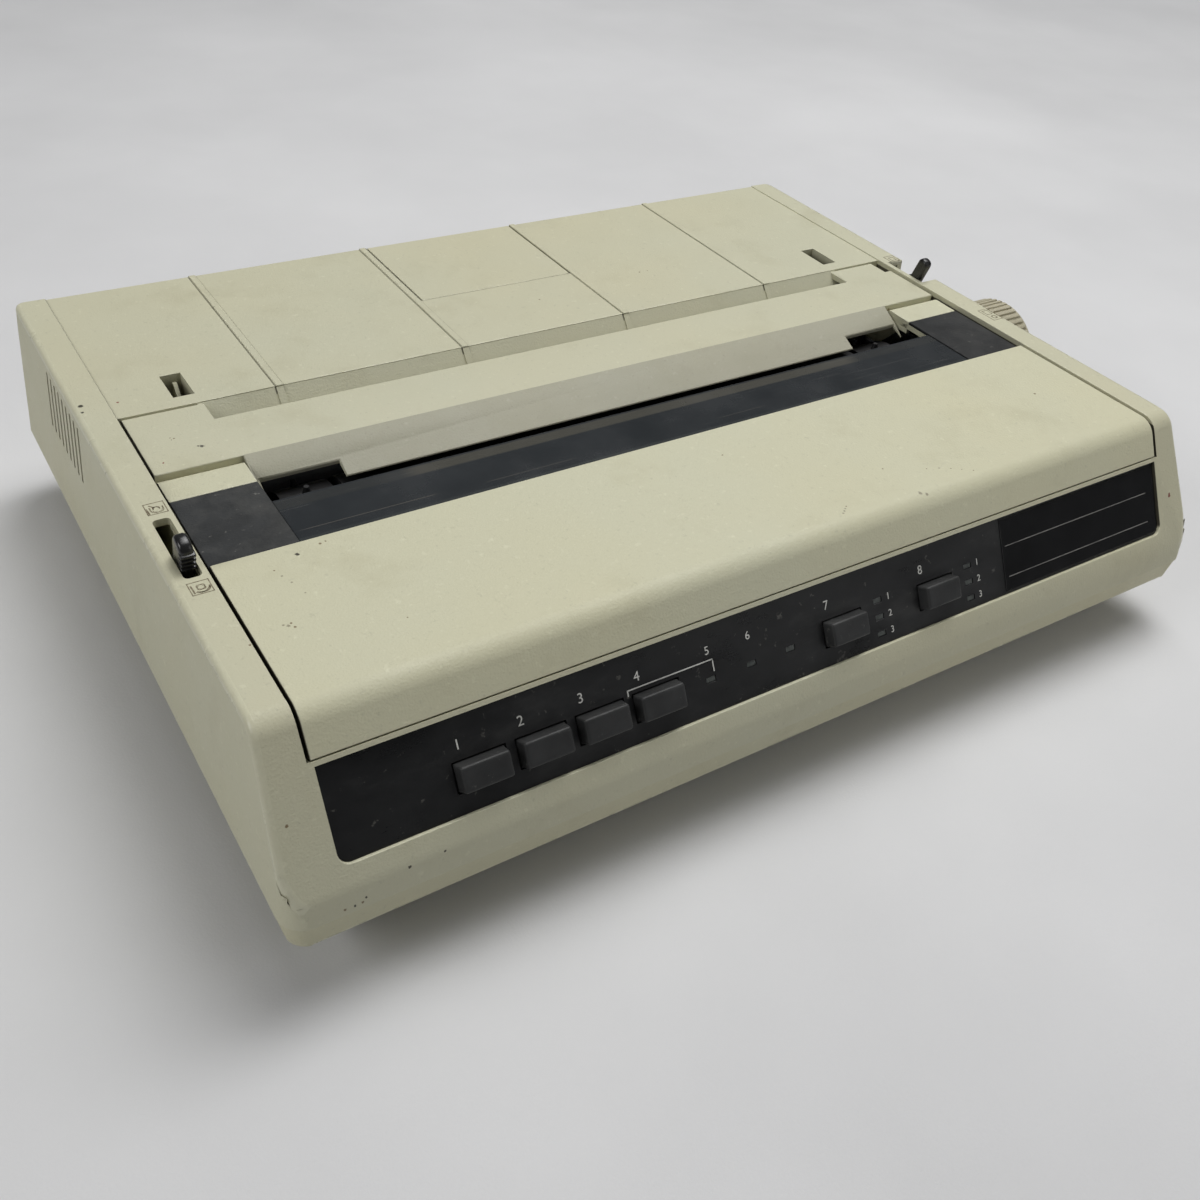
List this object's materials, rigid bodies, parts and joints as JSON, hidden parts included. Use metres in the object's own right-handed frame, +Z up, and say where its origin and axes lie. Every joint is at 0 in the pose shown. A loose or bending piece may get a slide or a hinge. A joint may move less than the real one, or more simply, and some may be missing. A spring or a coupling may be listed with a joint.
{
  "type": "dot matrix printer",
  "caption": "Low beige desktop dot matrix printer with a hinged front cover, smoked window, sloped black control panel, pin-feed platen with side knob and rack-driven print head.",
  "frame": {"origin": "on the table, at the middle of the whole outline with the platen knob", "axes": "+X to the right as the user faces the control panel, +Y to the back, +Z up"},
  "size_m": [0.386, 0.277, 0.0892],
  "materials": {
    "shell": "fine moulded grain, aged beige",
    "base_shell": "fine moulded grain, aged beige",
    "end_cap": "matte black",
    "smoke": "smoked clear plastic",
    "panel": "black, finely textured",
    "plate": "black film, bare",
    "key": "matte black",
    "lens": "unlit grey-green windows",
    "lever": "black moulding",
    "knob": "darker beige, aged",
    "roller": "black rubber",
    "nylon": "natural nylon",
    "wheel": "black moulding",
    "steel": "ground bar",
    "sheet": "zinc-coated sheet",
    "motor": "black can",
    "brass": "turned",
    "head": "finned die casting",
    "carrier": "black moulding",
    "cartridge": "black moulding",
    "board": "green laminate",
    "board_brown": "brown laminate",
    "iron": "laminated core",
    "socket": "black moulding",
    "foot": "black rubber",
    "screw": "zinc-plated"
  },
  "bodies": {
    "case": {"lower_case": "base_shell", "feet": "foot", "upper_case": "shell", "guide_bar": "shell", "operator_panel": "panel", "name_plate": "plate", "led_lenses": "lens", "panel_board": "board", "side_frame_left": "sheet", "side_frame_right": "sheet", "platen_bushings": "nylon", "paper_chute": "sheet", "feed_motor": "motor", "guide_shaft": "steel", "front_rail": "sheet", "rack": "nylon", "control_board": "board", "power_board": "board_brown", "transformer": "iron", "parallel_connector": "sheet", "ac_inlet": "socket", "power_switch": "socket", "case_screws": "screw", "frame_screws": "screw"},
    "hatch": {"rear_hatch": "shell"},
    "cover": {"access_cover": "shell", "cover_end_caps": "end_cap", "cover_window": "smoke"},
    "key_1": {"button_1": "key"},
    "key_2": {"button_2": "key"},
    "key_3": {"button_3": "key"},
    "key_4": {"button_4": "key"},
    "key_5": {"button_5": "key"},
    "key_6": {"button_6": "key"},
    "feed": {"platen": "roller", "platen_shaft": "steel", "pin_wheels": "wheel", "platen_gear": "nylon", "platen_knob": "knob"},
    "idler": {"idler_gear": "nylon"},
    "feed_drive": {"feed_pinion": "brass"},
    "bail": {"paper_bail": "steel"},
    "bail_wheels": {"bail_rollers": "roller"},
    "bail_handle": {"bail_lever": "lever"},
    "cradle": {"roller_cradle": "sheet"},
    "pressure_wheels": {"pressure_rollers": "roller"},
    "release_handle": {"release_lever": "lever"},
    "head_carriage": {"carriage": "carrier", "print_head": "head", "space_motor": "motor", "ribbon_cartridge": "cartridge"},
    "space_drive": {"space_pinion": "brass"},
    "ribbon_drive": {"ribbon_knob": "nylon"},
    "rocker": {"power_rocker": "key"}
  },
  "joints": [
    {"name": "cover_hinge", "type": "hinge", "parent": "case", "child": "cover", "pos_m": [-0.009, 0.0001, 0.0744], "axis": [-1, 0, 0], "range_deg": [0, 90]},
    {"name": "hatch_lift", "type": "slide", "parent": "case", "child": "hatch", "axis": [0, 0, 1], "range_m": [0, 0.025]},
    {"name": "key_1_press", "type": "slide", "parent": "case", "child": "key_1", "axis": [0, 0.8678, -0.497], "range_m": [0, 0.0016], "stiffness_N_per_m": 250, "springref_m": -0.0008},
    {"name": "key_2_press", "type": "slide", "parent": "case", "child": "key_2", "axis": [0, 0.8678, -0.497], "range_m": [0, 0.0016], "stiffness_N_per_m": 250, "springref_m": -0.0008},
    {"name": "key_3_press", "type": "slide", "parent": "case", "child": "key_3", "axis": [0, 0.8678, -0.497], "range_m": [0, 0.0016], "stiffness_N_per_m": 250, "springref_m": -0.0008},
    {"name": "key_4_press", "type": "slide", "parent": "case", "child": "key_4", "axis": [0, 0.8678, -0.497], "range_m": [0, 0.0016], "stiffness_N_per_m": 250, "springref_m": -0.0008},
    {"name": "key_5_press", "type": "slide", "parent": "case", "child": "key_5", "axis": [0, 0.8678, -0.497], "range_m": [0, 0.0016], "stiffness_N_per_m": 250, "springref_m": -0.0008},
    {"name": "key_6_press", "type": "slide", "parent": "case", "child": "key_6", "axis": [0, 0.8678, -0.497], "range_m": [0, 0.0016], "stiffness_N_per_m": 250, "springref_m": -0.0008},
    {"name": "platen_spin", "type": "hinge", "parent": "case", "child": "feed", "pos_m": [-0.009, -0.0094, 0.0525], "axis": [1, 0, 0], "continuous": true},
    {"name": "idler_spin", "type": "hinge", "parent": "case", "child": "idler", "pos_m": [-0.1706, 0.02342, 0.03977], "axis": [1, 0, 0], "continuous": true},
    {"name": "feed_pinion_spin", "type": "hinge", "parent": "case", "child": "feed_drive", "pos_m": [-0.1706, 0.04582, 0.03977], "axis": [1, 0, 0], "continuous": true},
    {"name": "bail_lever_swing", "type": "hinge", "parent": "case", "child": "bail_handle", "pos_m": [-0.1816, -0.036, 0.062], "axis": [-1, 0, 0], "range_deg": [0, 36]},
    {"name": "bail_swing", "type": "hinge", "parent": "case", "child": "bail", "pos_m": [-0.009, -0.014, 0.03], "axis": [1, 0, 0], "range_deg": [0, 12]},
    {"name": "bail_rollers_spin", "type": "hinge", "parent": "bail", "child": "bail_wheels", "pos_m": [-0.009, -0.0265, 0.067], "axis": [1, 0, 0], "continuous": true},
    {"name": "release_lever_swing", "type": "hinge", "parent": "case", "child": "release_handle", "pos_m": [0.1636, 0.025, 0.062], "axis": [-1, 0, 0], "range_deg": [0, 36]},
    {"name": "cradle_swing", "type": "hinge", "parent": "case", "child": "cradle", "pos_m": [-0.009, 0.018, 0.024], "axis": [1, 0, 0], "range_deg": [0, 6]},
    {"name": "pressure_rollers_spin", "type": "hinge", "parent": "cradle", "child": "pressure_wheels", "pos_m": [-0.009, -0.00171, 0.03139], "axis": [1, 0, 0], "continuous": true},
    {"name": "carriage_slide", "type": "slide", "parent": "case", "child": "head_carriage", "axis": [1, 0, 0], "range_m": [0, 0.2032]},
    {"name": "space_pinion_spin", "type": "hinge", "parent": "head_carriage", "child": "space_drive", "pos_m": [-0.1106, -0.088, 0.03], "axis": [0, 0, 1], "range_deg": [-1664, 0]},
    {"name": "ribbon_knob_spin", "type": "hinge", "parent": "head_carriage", "child": "ribbon_drive", "pos_m": [-0.1446, -0.082, 0.074], "axis": [0, 0, 1], "continuous": true},
    {"name": "power_rocker_tip", "type": "hinge", "parent": "case", "child": "rocker", "pos_m": [0.16853, 0.092, 0.043], "axis": [0, 0, 1], "range_deg": [0, 14]}
  ],
  "couplings": [
    {"joint": "idler_spin", "follows": "platen_spin", "ratio": -1},
    {"joint": "feed_pinion_spin", "follows": "platen_spin", "ratio": 3.6667},
    {"joint": "bail_swing", "follows": "bail_lever_swing", "ratio": 0.33333},
    {"joint": "cradle_swing", "follows": "release_lever_swing", "ratio": 0.16667},
    {"joint": "space_pinion_spin", "follows": "carriage_slide", "rad_per_m": -142.86}
  ]
}
